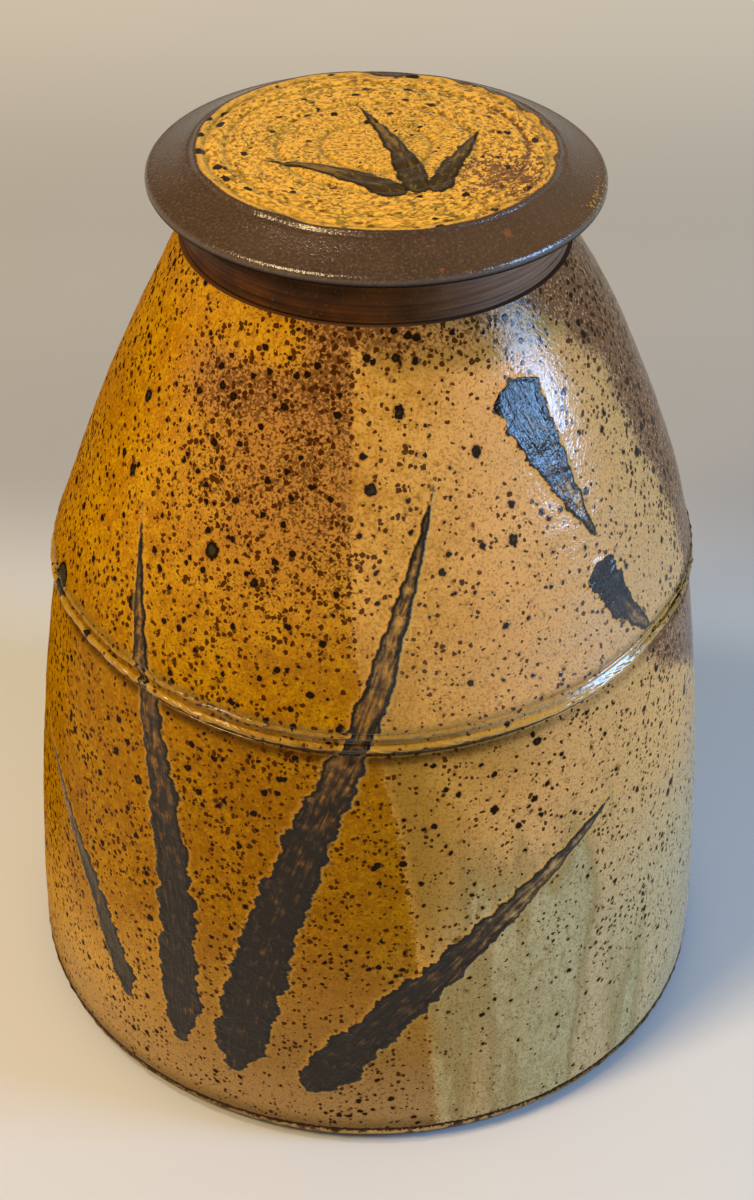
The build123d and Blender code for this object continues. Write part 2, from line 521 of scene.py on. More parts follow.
jarWall = {
    "columns": 600,
    "wall": 7.0,
    "lowerBulge": 2.8,
    "upperBulge": 3.4,
    "bellyHeight": 10.0,
    "footInset": 4.7,
    "footBevel": 2.5,
    "footRing": 14.0,
    "footRecess": 2.0,
    "recessSlope": 3.0,
    "floorHeight": 9.0,
    "floorRound": 12.0,
    "cordonBite": 2.0,
    "ledge": 1.2,
    "collarWall": 6.5,
}

footRadius = bellyRadius - jarWall["footInset"]
seatRadius = jointRadius - jarWall["cordonBite"]
innerJoint = jointRadius - jarWall["wall"]
innerBelly = bellyRadius - jarWall["wall"]
mouthRadius = collarRadius - jarWall["collarWall"]
glazeFace, linerFace, clayFace = range(3)


def lowerJar():
    w = SimpleNamespace(**jarWall)
    footInner = footRadius - w.footRing
    under = [(0, w.footRecess), (40, w.footRecess), (footInner - w.recessSlope, w.footRecess)]
    under += [(footInner, 0), (footRadius - 1, 0), (footRadius, 0.25)]
    bevelTop = (footRadius + w.footBevel, w.footBevel)
    belly = (bellyRadius, w.bellyHeight)
    t = np.linspace(0, 1, 9)[:, None]
    swell = np.array(((bellyRadius, w.footBevel + 2.2),))
    shin = (1 - t) ** 2 * np.array(bevelTop) + 2 * t * (1 - t) * swell + t * t * np.array(belly)
    wall = bow(belly, (jointRadius, cordonLow), w.lowerBulge, 122)
    seam = [(jointRadius, cordonLow), (seatRadius, cordonLow), (seatRadius, seamHeight)]
    lip = [(seatRadius, seamHeight), (innerJoint, seamHeight)]
    floorTurn = w.floorHeight + w.floorRound
    inside = bow((innerJoint, seamHeight), (innerBelly, floorTurn), -w.lowerBulge, 14)
    corner = arc((innerBelly - w.floorRound, floorTurn), w.floorRound, 0, -90, 6)
    floor = line(corner[-1], (0, w.floorHeight), 5)
    strips = [
        (clayFace, under, False),
        (glazeFace, joined(line(under[-1], bevelTop, 3), shin, wall), True),
        (clayFace, seam, False),
        (clayFace, lip, False),
        (linerFace, joined(inside, corner, floor), False),
    ]
    return turn("lower_jar", strips, w.columns, jarWobble, wallRelief)


def upperJar():
    w = SimpleNamespace(**jarWall)
    shoulder = (collarRadius + w.ledge, shoulderTop)
    wall = bow((jointRadius, cordonHigh), shoulder, w.upperBulge, 106)
    ledge = line(shoulder, (mouthRadius, shoulderTop), 3)
    inside = bow((mouthRadius, shoulderTop), (innerJoint, seamHeight), -w.upperBulge, 16)
    low = [(seatRadius, cordonHigh), (jointRadius, cordonHigh)]
    seat = [(innerJoint, seamHeight), (seatRadius, seamHeight), (seatRadius, cordonHigh)]
    strips = [
        (clayFace, low, False),
        (glazeFace, wall, True),
        (clayFace, ledge, False),
        (linerFace, inside, False),
        (clayFace, seat, False),
    ]
    return turn("upper_jar", strips, w.columns, jarWobble, wallRelief)


# Cordon: pale where the glaze breaks over the beads, olive where it pools between them, and painted dark as
# shade under the main bead

cordonShape = {
    "columns": 1200,
    "undercut": 1.7,  # the coil is drawn in below the main bead, mm
    "undercutDepth": 0.45,
    "mainBead": 2.8,
    "mainProud": 1.7,
    "ramp": 2.4,  # on the right-hand side the top of the main bead slopes back over this height
    "ledge": (14.0, 28.0, 46.0, 60.0),  # degrees between which it does so
    "channel": 2.0,  # elsewhere a channel lies between the beads
    "channelDepth": 0.2,
    "upperBead": 1.4,
    "upperProud": 0.75,
    "waver": 0.4,  # how far the bead wanders, mm
    "lumps": 0.42,  # and how lumpy it is
    "thinner": 0.45,  # away from the left-hand side the bead is pressed thinner by this, mm
}


def cordonRelief(angles, heights, radii):
    fields = wallFields(angles, heights, radii)
    fields["brush"] = fields["brush"] - 1.4
    degrees = np.degrees(angles)
    c = SimpleNamespace(**cordonShape)
    half = c.mainBead / 2
    crest = cordonLow + c.undercut + half
    channel = crest + half + c.channel / 2
    ledge = smooth(*c.ledge[:2], degrees) * smooth(*c.ledge[:1:-1], degrees)
    rise = np.clip(heights - crest, 0, c.ramp)
    bulge = c.mainProud * np.sqrt(np.clip(1 - (rise / half) ** 2, 0, 1)) - c.channelDepth * (rise > half)
    carved = (c.mainProud * (1 - rise / c.ramp) - bulge) * (rise < c.ramp) * (1 - ledge)
    proud = radii - jointRadius - carved
    broad = smooth(-8, -34, degrees) * smooth(-110, -80, degrees)
    uneven = 0.75 + 0.4 * broad + 0.6 * ringRipple(angles, (5, 11, 17, 29, 43, 71), 27)
    fields["bead"] = smooth(0.3, 0.9, proud) * np.clip(uneven, 0.1, 1)
    fields["crowd"] = fields["crowd"] - 0.35 * fields["bead"]
    fields["pool"] = np.maximum(fields["pool"], 0.9 * bell(heights - channel, 0.8) * (1 - ledge))
    # the undercut below the main bead is painted dark as shade
    drawnIn = smooth(c.undercut + 0.4, c.undercut - 0.4, heights - cordonLow)
    fields["seam"] = np.maximum(fields["seam"], drawnIn)
    raised = c.waver * ringRipple(angles, (7, 13, 22, 37, 53), 19)
    lumps = c.lumps * ringRipple(angles + heights * 0.03, (41, 71, 97, 120, 151), 23)
    raised = (raised + lumps) * (1 - 0.6 * ledge)
    fields["gloss"] = (fields["gloss"] + 0.35 * ledge) * smooth(60, 46, degrees)
    raised = raised + 0.1 * ripple(heights, (1.1, 1.7), 29)
    raised = raised - c.thinner * (1 - broad) * (1 - ledge) * smooth(0.5, 1.4, proud)
    return raised * smooth(0.1, 0.9, proud) - carved, fields


def cordonCoil():
    c = SimpleNamespace(**cordonShape)
    mainLow = cordonLow + c.undercut
    crest = mainLow + c.mainBead / 2
    rampTop = crest + c.ramp
    upperLow = mainLow + c.mainBead + c.channel
    upperTop = upperLow + c.upperBead
    front = arc((jointRadius, crest), (c.mainProud, c.mainBead / 2), -90, 0, 7)
    face = joined(
        bow((jointRadius, cordonLow), (jointRadius, mainLow), -c.undercutDepth, 4, True),
        front,
        line(front[-1], (jointRadius, rampTop), 16),
        line((jointRadius, rampTop), (jointRadius, upperLow), 2),
        bow((jointRadius, upperLow), (jointRadius, upperTop), c.upperProud, 7, True),
        line((jointRadius, upperTop), (jointRadius, cordonHigh), 2),
    )
    low = [(seatRadius, cordonLow), (jointRadius, cordonLow)]
    back = [(jointRadius, cordonHigh), (seatRadius, cordonHigh), (seatRadius, cordonLow)]
    strips = [(clayFace, low, False), (glazeFace, face, True), (clayFace, back, False)]
    return turn("cordon_coil", strips, c.columns, jarWobble, cordonRelief)


# Collar

collarShape = {
    "columns": 480,
    "rimRound": 1.6,
    # throwing lines: mm above the shoulder, and how deep each is cut
    # each line's depth also sets painted shade in it; the first, at the collar's foot, is a painted shadow
    # line
    "lines": [(0.1, 1.0), (1.7, 0.5), (2.9, 0.9), (4.6, 0.45), (6.1, 0.7), (8.2, 0.25)],
    "lineDepth": 0.5,
    "lineWidth": 0.42,
}


def collarRelief(angles, heights, radii):
    c = SimpleNamespace(**collarShape)
    rise = heights - shoulderTop + 0.25 * np.sin(angles + 0.7)
    cut = np.zeros_like(rise)
    for i, (place, depth) in enumerate(c.lines):
        uneven = 0.7 + 0.5 * ringRipple(angles, (2, 3, 7, 11), 60 + i)
        drift = rise - place - 0.2 * ringRipple(angles, (1, 2, 5), 70 + i)
        # the cuts' depth sets both the grooves and the painted shade in them
        cut = cut + depth * np.clip(uneven, 0.1, 1) * bell(drift, c.lineWidth)
    raised = 0.05 * ripple(rise, (1.3, 1.9), 7) * smooth(15, 9, rise) - c.lineDepth * cut
    raised = raised - 0.35 * bell(rise - 12.0, 2.2) + 0.25 * bell(rise - 8.9, 0.9)
    degrees = np.degrees(angles)
    # painted light: the collar is lighter towards the right, where the window's light falls
    worn = smooth(6, 44, degrees) * smooth(140, 90, degrees)
    return raised * smooth(50, 55, radii), {"worn": worn, "cut": cut}


def neckCollar():
    c = SimpleNamespace(**collarShape)
    turnHeight = seatHeight - c.rimRound
    turnOut = arc((collarRadius - c.rimRound, turnHeight), c.rimRound, 0, 90, 5)
    turnIn = arc((mouthRadius + c.rimRound, turnHeight), c.rimRound, 90, 180, 5)
    outside = line((collarRadius, shoulderTop), turnOut[0], 56)
    inner = line(turnIn[-1], (mouthRadius, shoulderTop), 10)
    base = line((mouthRadius, shoulderTop), (collarRadius, shoulderTop), 2)
    strips = [
        (0, outside, True),
        (0, np.concatenate((turnOut, turnIn)), False),
        (0, inner, False),
        (0, base, False),
    ]
    return turn("neck_collar_ring", strips, c.columns, jarWobble, collarRelief)


# Lid

lidShape = {
    "columns": 540,
    "edge": 3.2,
    "bevelRun": 14.0,
    "edgeRound": 1.45,  # under the rim
    "rimRound": 1.8,  # and over it
    "bevelRound": 1.5,
    "dish": 0.5,  # the bevel is trimmed slightly hollow, mm
    "climb": 2.4,  # the slip climbs to the glaze over this width, mm
    "hollow": 3.0,
    "hollowRound": 2.0,
    "rings": (16.0, 29.0, 43.5, 49.6),
    "middle": 1.2,  # the last ring of the mesh before its centre point, mm
    "ringDepth": 0.55,
    "ringWidth": 0.8,
    "glazeHeight": 0.75,  # thickness of the glaze at its ragged border, mm
    "fineBand": 3.5,  # the mesh is finer within this of the border, mm
    # bays in that border: degrees, depth in mm, width in degrees
    "notches": [(83, 1.4, 3.0), (-31, 1.2, 6.0), (176, 3.0, 9.0), (150, 2.0, 4.0),
                (137, 1.3, 3.0), (122, 1.9, 5.0), (108, 1.2, 3.5)],
    # iron spots near the border: degrees, inset and size in mm
    "blots": [(-96, 1.4, 1.5), (-84, 1.8, 1.9), (-108, 1.0, 1.4), (-71, 5.5, 1.5), (40, 2.5, 1.3)],
    "scars": [(37.9, 59.0, 1.5), (16.1, 65.1, 0.9)],  # rust spots on the bevel: degrees, radius, size
    "bruise": ((37, 15), (-17, 17)),  # a dark bloom: place and width across, then along, mm
    "flangeColumns": 360,
    "flangeWall": 5.0,
    "flangeRound": 1.5,
}
discRadius = lidRadius - lidShape["bevelRun"]
flangeBore = flangeRadius - lidShape["flangeWall"]


def lidSpots(x, y, spots):
    # mm inside the nearest spot, each given by its degrees, radius and size
    inside = np.full_like(x, -9.0)
    for place, away, size in spots:
        spotX, spotY = away * math.sin(math.radians(place)), -away * math.cos(math.radians(place))
        inside = np.maximum(inside, size - np.hypot(x - spotX, y - spotY))
    return inside


def lidRelief(angles, heights, radii):
    s = SimpleNamespace(**lidShape)
    degrees = np.degrees(angles)
    border = discRadius - 0.6 + 0.7 * ringRipple(angles, (2, 3, 5, 8, 13, 21), 41)
    for place, depth, width in s.notches:
        border = border - depth * bell(wrapped(degrees - place), width)
    edge = np.clip(border - radii, -30, 60)
    x, y = radii * np.sin(angles), -radii * np.cos(angles)
    acrossPlace, alongPlace = s.bruise
    bruises = (
        bell(x - acrossPlace[0], acrossPlace[1]) * bell(y - alongPlace[0], alongPlace[1]),
        bell(radii - s.rings[-2], 1.1) * smooth(10, 60, degrees) * smooth(170, 120, degrees),
        0.35 * smooth(0, 45, x),
    )
    brush = brushField(lidSprig, x, y, np.ones_like(x), False)
    fields = brush | {
        "glaze": edge,
        "bruise": np.maximum.reduce(bruises),
        "groove": sum(bell(radii - ring, 0.9) for ring in s.rings),
        "blots": lidSpots(x, y, [(place, discRadius - inset, size) for place, inset, size in s.blots]),
        "scars": lidSpots(x, y, s.scars),
        "spatter": smooth(52, 70, degrees) * smooth(100, 84, degrees) * smooth(7, 2, lidRadius - radii),
        # painted light: the slip is lighter towards the right, where the window's light falls
        "worn": smooth(10, 70, degrees) * smooth(150, 110, degrees),
        # painted shade: the slip is painted dark under the rim, and is also made rougher and less glossy
        # there
        "under": smooth(seatHeight + 2.4, seatHeight + 0.6, heights),
    }
    onTop = smooth(lidTop - 1.2, lidTop - 0.4, heights)
    raised = 0.09 * ripple(radii + 0.5 * np.sin(angles), (4.1, 6.3), 3) * smooth(2, 8, radii)
    for ring in s.rings:
        raised = raised - s.ringDepth * bell(radii - ring, s.ringWidth)
    raised = raised * onTop + s.glazeHeight * (smooth(-s.climb, -0.2, edge) - onTop)
    raised = raised - 0.12 * bell(edge + s.climb + 0.8, 0.9)
    along = np.clip((radii - discRadius) / s.bevelRun, 0, 1)
    raised = raised - s.dish * 4 * along * (1 - along)
    return raised + lidSprig["height"] * smooth(-0.3, 1.0, brush["brush"]), fields


def lidPlate():
    s = SimpleNamespace(**lidShape)
    hollowTop = seatHeight + s.hollow
    roof = line((0, hollowTop), (flangeBore - s.hollowRound, hollowTop), 4)
    cove = arc((flangeBore - s.hollowRound, hollowTop - s.hollowRound), s.hollowRound, 90, 0, 5)
    seat = line((flangeBore, seatHeight), (lidRadius - s.edgeRound, seatHeight), 6)
    lowRound = arc((lidRadius - s.edgeRound, seatHeight + s.edgeRound), s.edgeRound, -90, 0, 5)
    slope = math.atan2(lidTop - seatHeight - s.edge, s.bevelRun)
    upright = 90 - math.degrees(slope)
    highTurn = seatHeight + s.edge - s.rimRound * math.tan(math.radians(upright) / 2)
    highRound = arc((lidRadius - s.rimRound, highTurn), s.rimRound, 0, upright, 6)
    inset = s.bevelRound * math.tan(slope / 2)
    down = np.array((math.cos(slope), -math.sin(slope)))
    bevelEnd = np.array((discRadius, lidTop)) + inset * down
    near = bevelEnd + s.fineBand * down
    bevel = joined(line(highRound[-1], near, 18), line(near, bevelEnd, 14))
    topRound = arc((discRadius - inset, lidTop - s.bevelRound), s.bevelRound, upright, 90, 4)
    inner = (discRadius - s.fineBand - inset, lidTop)
    disc = joined(line(topRound[-1], inner, 14), line(inner, (s.middle, lidTop), 92))
    strips = [
        (1, joined(roof, cove), False),
        (1, np.concatenate((cove[-1:], seat)), False),
        (0, np.concatenate((lowRound, highRound)), False),
        (0, joined(bevel, topRound, disc), True),
        (0, [disc[-1], (0, lidTop)], False),
    ]
    return turn("lid_plate_top", strips, s.columns, lidWobble, lidRelief)


def lidFlange():
    r = lidShape["flangeRound"]
    foot = flangeFoot + r
    outer = line((flangeRadius, foot), (flangeRadius, seatHeight), 10)
    over = line((flangeRadius, seatHeight), (flangeBore, seatHeight), 2)
    inner = line((flangeBore, seatHeight), (flangeBore, foot), 10)
    inRound = arc((flangeBore + r, foot), r, 180, 270, 5)
    outRound = arc((flangeRadius - r, foot), r, -90, 0, 5)
    rounds = np.concatenate((inRound, outRound))
    strips = [(0, outer, False), (0, over, False), (0, inner, False), (0, rounds, False)]
    return turn("lid_locating_ring", strips, lidShape["flangeColumns"], lidWobble)


# Materials

def newMaterial(name, table, fields=""):
    # a bare material, addNode tied to its tree, the place on the object, the table's colours, and what is
    # read there: the mesh's fields, and the table's noises by size in mm, detail, roughness and any stretch
    material = bpy.data.materials.new(name)
    material.use_nodes = True
    material.node_tree.nodes.clear()
    add = partial(addNode, material.node_tree)
    place = add("TexCoord", {}, "Object")
    colour = {key: linearColour(value) for key, value in table.items() if isinstance(value, str)}
    read = {field: add("Attribute", {}, "Fac", attribute_name=field) for field in fields.split()}
    for key, (size, detail, roughness, *stretch) in table.get("noises", {}).items():
        feeds = {"Scale": perMm(size), "Detail": detail, "Roughness": roughness}
        feeds["Vector"] = add("VectorMath", (place, *stretch), **times) if stretch else place
        read[key] = add("TexNoise", feeds)
    return material, add, place, SimpleNamespace(**colour), SimpleNamespace(**read)


def layOver(add, tone, layers):
    # lays each (cover, colour) over what is under it; a third value is the cover's share or its soft ramp
    for cover, shade, *fit in layers:
        if fit and isinstance(fit[0], tuple):
            cover = add("MapRange", (cover, *fit[0]), **soft)
        elif fit:
            cover = add("Math", (cover, fit[0]), **times)
        tone = add("Mix", {0: cover, 6: tone, 7: shade}, 2, data_type="RGBA")
    return tone


def ironSpecks(add, place, gap, sizes, more, channel):
    # round bits of iron: seeds this many mm apart, radii in mm (a negative one doesn't show), mm inside each
    cell = add("TexVoronoi", {"Vector": place, "Scale": perMm(gap)}, "Distance")
    pick = add("SeparateColor", (cell.node.outputs["Color"],), channel)
    radius = add("MapRange", (pick, 0, 1, *sizes))
    radius = add("Math", (radius, more), **plus)
    return add("Math", (cell, -gap, radius), **timesPlus)


def ironMarks(add, read, colour, brush, mottle=None, ragged=None):
    # iron laid on with a brush: streaks along the stroke, a dark frayed edge, breaks where it ran dry
    b = SimpleNamespace(**brush)
    bristle = add("CombineXYZ", (read.across, read.along))
    drawn = add("VectorMath", (bristle, b.drawn), **times)
    feeds = {"Vector": drawn, "Scale": 1.0, "Detail": 4.0, "Roughness": 0.65, "Distortion": b.swirl}
    streak = add("TexNoise", feeds)
    if mottle is not None:
        streak = add("Mix", {0: 0.45, 2: streak, 3: mottle})
    combed = add("VectorMath", (bristle, b.combed), **times)
    detail, roughness = b.hairs
    teeth = add("TexNoise", {"Vector": combed, "Scale": 1.0, "Detail": detail, "Roughness": roughness})
    teeth = add("MapRange", (teeth, *b.teeth))
    fine = add("MapRange", (read.dry, 0, 1, 1.0, 0.25))
    fray = add("Math", (teeth, fine, read.brush), **timesPlus)
    if ragged is not None:
        fray = add("Math", (ragged, 0.1, fray), **timesPlus)
    cover = add("MapRange", (fray, -0.25, 0.3), **soft)
    edge = add("MapRange", (fray, 0.6, b.edge, 1.0, 0.0), **soft)
    dryness = add("Math", (read.dry, b.dry, streak), **timesPlus)
    tone = layOver(add, colour.iron, [(dryness, colour.ironBreak, b.broken), (edge, colour.ironEdge)])
    return SimpleNamespace(streak=streak, fray=fray, cover=cover, edge=edge, dryness=dryness, tone=tone)


glassIor = 1.5


def finishMaterial(add, tone, roughness, gloss, relief, horizonGlow=None):
    # the relief is a height, its strength and its depth; the glow, if any, is a cover and a colour in which
    # the surface shines as painted light
    bump = add("Bump", dict(zip(("Height", "Strength", "Distance"), relief)))
    feeds = {"Base Color": tone, "Roughness": roughness, "Normal": bump, "Specular IOR Level": gloss}
    shader = add("BsdfPrincipled", feeds | {"IOR": glassIor})
    if horizonGlow:
        glow = add("Emission", {"Color": horizonGlow[1]})
        shader = add("MixShader", (horizonGlow[0], shader, glow))
    add("OutputMaterial", {"Surface": shader})


ashGlaze = {
    "amberDeep": "#a86f00",
    "amberBright": "#cc9a04",
    "lowAmber": "#8a5c04",
    "tan": "#917040",
    "tanPale": "#d0a454",
    "underRust": "#b07e42",
    "underCool": "#c29262",
    "rust": "#5a3a20",
    "rustCool": "#6e4026",
    "straw": "#b07f28",
    "strawPale": "#d2a04c",
    "blush": "#e6ab6a",
    "olive": "#9a752c",
    "celadon": "#a99b6c",
    "celadonPale": "#c2b484",
    "drip": "#87753f",
    "ash": "#ac9460",
    "ashPink": "#c6aa79",
    "pepper": "#3f1d00",
    "speck": "#1e1205",
    "halo": "#7d4f1c",
    "spotHeart": "#38331f",
    "grain": "#6a4410",
    "iron": "#1e170e",
    "ironEdge": "#130f0b",
    "ironBreak": "#6a4a22",
    "ironHalo": "#d8a850",
    "pool": "#6f5c24",
    # painted shade under the cordon, with the dark glaze there
    "seam": "#2c1904",
    "bead": "#b48c2a",
    "skirt": "#aa8a5a",
    # painted shade just above the foot
    "ground": "#5e4b2c",
    "clay": "#7a5a34",
    "clayDark": "#33200f",
    # pale rolled glaze with a painted highlight
    "footRim": "#e0b876",
    "noises": {
        "worm": (1.25, 4.0, 0.6),  # fine curdling of the glaze
        "mottle": (3.6, 3.0, 0.5),  # cloudiness
        "drift": (24.0, 2.0, 0.5),  # slow change of tone
        "peel": (1.5, 2.0, 0.5),  # orange-peel ripple of the fired surface
        "grit": (0.8, 2.0, 0.5),  # fine grain of the ash
        "streaks": (9.0, 4.0, 0.5, (1.0, 1.0, 0.14)),  # uneven edges of the runs
        "thread": (1.5, 3.0, 0.6, (1.0, 1.0, 0.3)),  # threads that ran down
    },
    "brush": {
        "drawn": (0.75, 0.12, 1.0),  # streaks per mm across and along the stroke
        "swirl": 0.3,
        "combed": (0.05, 0.2, 1.0),  # and the same for the frayed edge
        "hairs": (3.0, 0.55),
        "teeth": (0.36, 0.66, -1.7, 1.2),
        "edge": 2.8,  # width of the dark edge, mm
        "dry": 0.24,
        "broken": (0.52, 0.72, 0.0, 0.85),
    },
    "ironGloss": 0.26,
}


def ashGlazeOnStoneware(name, shine, rough, relief):
    # Ash glaze, dipped twice and fired in a smoky kiln: satin gloss, curdled amber that breaks to rust,
    # straw and celadon runs, with iron specks that bleed through from the clay.
    g = ashGlaze
    fields = "dip rust deep tan pale olive blush grey runs crowd pool seam bead foot gather gloss blots"
    material, add, place, colour, read = newMaterial(name, g, fields + brushFields)

    # curdling and cloudiness, and the covers that they break up
    cloud = add("Math", (read.mottle, read.drift), **plus)
    cloud = add("Math", (read.worm, 1.6, cloud), **timesPlus)
    cloud = add("MapRange", (cloud, 1.45, 2.15), **soft)
    ragged = add("MapRange", (read.worm, 0.25, 0.75, -1.6, 1.6))
    patchy = {}
    for field, noise, *ramp in (
        ("deep", cloud, 0, 1, 0.95, 0.6),
        ("tan", cloud, 0, 1, 0.75, 1.0),
        ("bead", read.mottle, 0.35, 0.65, 0.35, 0.9),
        ("seam", read.worm, 0.3, 0.7, 0.65, 1.0),
    ):
        uneven = add("MapRange", (noise, *ramp))
        patchy[field] = add("Math", (vars(read)[field], uneven), **times)

    # the first glaze, amber, with rust that curdles in it where the iron is strong, and straw dipped over it
    rustTone = layOver(add, colour.rust, [(read.blush, colour.rustCool)])
    rustBase = layOver(add, colour.underRust, [(read.blush, colour.underCool)])
    tanTone = layOver(add, colour.tan, [(read.pale, colour.tanPale)])
    ash = layOver(add, colour.ash, [(read.blush, colour.ashPink)])
    curdle = add("Mix", {0: 0.55, 2: read.worm, 3: read.grit})
    curdle = add("Math", (read.rust, 0.14, curdle), **timesPlus)
    curdle = add("Math", (read.drift, 0.12, curdle), **timesPlus)
    strawRust = add("MapRange", (read.worm, 0.6, 0.74, 0.0, 0.55), **soft)
    straw = layOver(add, colour.straw, [
        (cloud, colour.strawPale),
        (read.blush, colour.blush, 0.75),
        (read.olive, colour.olive),
        (read.grey, ash),
        (strawRust, colour.halo),
    ])
    dipEdge = add("Math", (read.dip, ragged), **plus)
    dipCover = add("MapRange", (dipEdge, -0.8, 0.8), **soft)
    tone = layOver(add, colour.amberDeep, [
        (cloud, colour.amberBright),
        (patchy["deep"], colour.lowAmber),
        (read.olive, colour.olive),
        (patchy["tan"], tanTone),
        (read.foot, colour.skirt, (-34.0, -8.0, 0.0, 0.7)),
        # painted shade, darker just above the foot
        (read.foot, colour.ground, (-7.0, -0.5, 0.0, 0.65)),
        (read.rust, rustBase, 0.8),
        (curdle, rustTone, (0.65, 0.74, 0.0, 0.85)),
        (dipCover, straw),
    ])

    # celadon runs, with a darker line where each one stopped spreading, and threads that ran down
    runEdge = add("MapRange", (read.streaks, 0.2, 0.8, -9.0, 9.0))
    runEdge = add("Math", (read.runs, runEdge), **plus)
    runEdge = add("Math", (ragged, 0.8, runEdge), **timesPlus)
    runCover = add("MapRange", (runEdge, -7.0, 5.0, 0.0, 0.8), **soft)
    runCover = add("Math", (runCover, dipCover), **times)
    runTone = layOver(add, colour.celadon, [(cloud, colour.celadonPale, 0.8), (strawRust, colour.drip)])
    runTone = layOver(add, colour.drip, [(runEdge, runTone, (0.0, 6.0))])
    thread = add("MapRange", (read.thread, 0.5, 0.72, 0.0, 0.6), **soft)
    for cover in (read.grey, dipCover):
        thread = add("Math", (thread, cover), **times)

    # iron through the glaze: pepper, specks with a soft halo, and a few large spots
    shake = add("TexNoise", {"Vector": place, "Scale": perMm(1.5), "Detail": 1.0}, "Color")
    shaken = add("VectorMath", (shake, (1.3 * mm,) * 3, place), **timesPlus)
    crowd = add("MapRange", (read.drift, 0.3, 0.7, -0.15, 0.15))
    crowd = add("Math", (crowd, read.crowd), **plus)
    crowd = add("Math", (runCover, -0.22, crowd), **timesPlus)
    pepper = ironSpecks(add, shaken, 1.65, (-0.4, 0.95), crowd, "Red")
    speck = ironSpecks(add, shaken, 3.6, (-0.9, 1.25), crowd, "Green")
    spot = ironSpecks(add, shaken, 13.0, (-1.2, 2.2), 0.0, "Blue")
    big = add("Math", (ragged, 0.35, read.blots), **timesPlus)
    for other in (spot, big):
        speck = add("Math", (speck, other), **larger)
    speckCover = add("MapRange", (speck, -0.08, 0.12), **soft)

    # brush marks, thin at the tips
    mark = ironMarks(add, read, colour, g["brush"], read.mottle, ragged)
    thin = add("MapRange", (mark.dryness, 0.62, 0.82, 1.0, 0.25), **soft)
    thin = add("Math", (thin, mark.edge), **larger)
    markShow = add("Math", (mark.cover, thin), **times)

    # at the foot a dark line, a broken roll of pale glaze with a painted highlight, strongest at the front,
    # and bare clay
    footEdge = add("Math", (ragged, 0.4, read.foot), **timesPlus)
    footCover = add("MapRange", (footEdge, -0.2, 0.3), **soft)
    rollTop = add("MapRange", (footEdge, 1.0, 1.5))
    rollEnd = add("MapRange", (footEdge, 3.2, 3.8, 1.0, 0.0))
    rollGaps = add("MapRange", (read.mottle, 0.4, 0.5, 0.1, 1.0))
    rollGaps = add("Math", (rollGaps, read.gather), **times)
    roll = add("Math", (rollTop, rollEnd), **times)
    roll = add("Math", (roll, rollGaps), **times)
    rollTone = layOver(add, colour.clay, [(read.worm, colour.footRim)])
    clay = layOver(add, colour.clayDark, [(roll, rollTone)])
    tone = layOver(add, tone, [
        (runCover, runTone),
        (thread, colour.drip),
        (read.grit, colour.grain, (0.47, 0.7, 0.0, 0.5)),
        (patchy["bead"], colour.bead),
        (read.pool, colour.pool, 0.75),
        # painted shade under the cordon
        (patchy["seam"], colour.seam),
        (pepper, colour.pepper, (-0.06, 0.1, 0.0, 0.95)),
        (speck, colour.halo, (-0.7, 0.0, 0.0, 0.5)),
        (speckCover, colour.speck),
        (speck, colour.spotHeart, (0.7, 1.4)),
        (mark.fray, colour.ironHalo, (-1.7, -0.4, 0.0, 0.24)),
        (markShow, mark.tone),
        (footCover, clay),
    ])

    # relief and gloss
    lumps = add("Math", (mark.streak, 4.0, mark.edge), **timesPlus)
    height = add("Math", (speckCover, 0.5, read.peel), **timesPlus)
    height = add("Math", (read.grit, 0.5, height), **timesPlus)
    height = add("Math", (lumps, mark.cover, height), **timesPlus)
    roughness = add("MapRange", (read.mottle, 0.3, 0.7, *rough))
    bare = add("Math", (footCover, 0.2), **times)
    roughness = add("Math", (roughness, bare), **plus)
    gloss = add("Math", (mark.cover, g["ironGloss"]), **times)
    gloss = add("Math", (gloss, read.gloss), **larger)
    gloss = add("Math", (gloss, shine), **plus)
    finishMaterial(add, tone, roughness, gloss, (height, 0.8, relief * mm))
    return material


linerColours = {
    "deep": "#5a3410",
    "thin": "#8d5b1c",
    "speck": "#1f140c",
    "speckGap": 4.0,
    "noises": {"rings": (14.0, 3.0, 0.5, (0.25, 0.25, 2.2))},
}


def linerGlaze():
    # Liner glaze, poured in and tipped out: glossy brown, thinner and warmer on the throwing rings
    g = linerColours
    material, add, place, colour, read = newMaterial("poured_liner_glaze", g)
    speck = ironSpecks(add, place, g["speckGap"], (-0.9, 1.0), 0.0, "Red")
    cover = add("MapRange", (speck, -0.1, 0.1))
    tone = layOver(add, colour.deep, [(read.rings, colour.thin), (cover, colour.speck)])
    roughness = add("MapRange", (read.rings, 0, 1, 0.16, 0.28))
    finishMaterial(add, tone, roughness, 0.4, (read.rings, 0.4, 0.5 * mm))
    return material


clayColours = {
    "body": "#6b4a2c",
    "scorch": "#452c19",
    "grit": "#a98a62",
    "gritGap": 2.4,
    "noises": {"cloud": (9.0, 4.0, 0.5), "tooth": (1.1, 4.0, 0.5)},
}


def bareStoneware():
    # Bare stoneware, trimmed on the wheel and fired: dry, toasted brown with pale grit
    g = clayColours
    material, add, place, colour, read = newMaterial("bare_trimmed_stoneware", g)
    grit = ironSpecks(add, place, g["gritGap"], (-0.5, 0.5), 0.0, "Red")
    cover = add("MapRange", (grit, -0.1, 0.1, 0.0, 0.6))
    tone = layOver(add, colour.scorch, [(read.cloud, colour.body), (cover, colour.grit)])
    roughness = add("MapRange", (read.cloud, 0, 1, 0.7, 0.85))
    finishMaterial(add, tone, roughness, 0.4, (read.tooth, 0.5, 0.15 * mm))
    return material


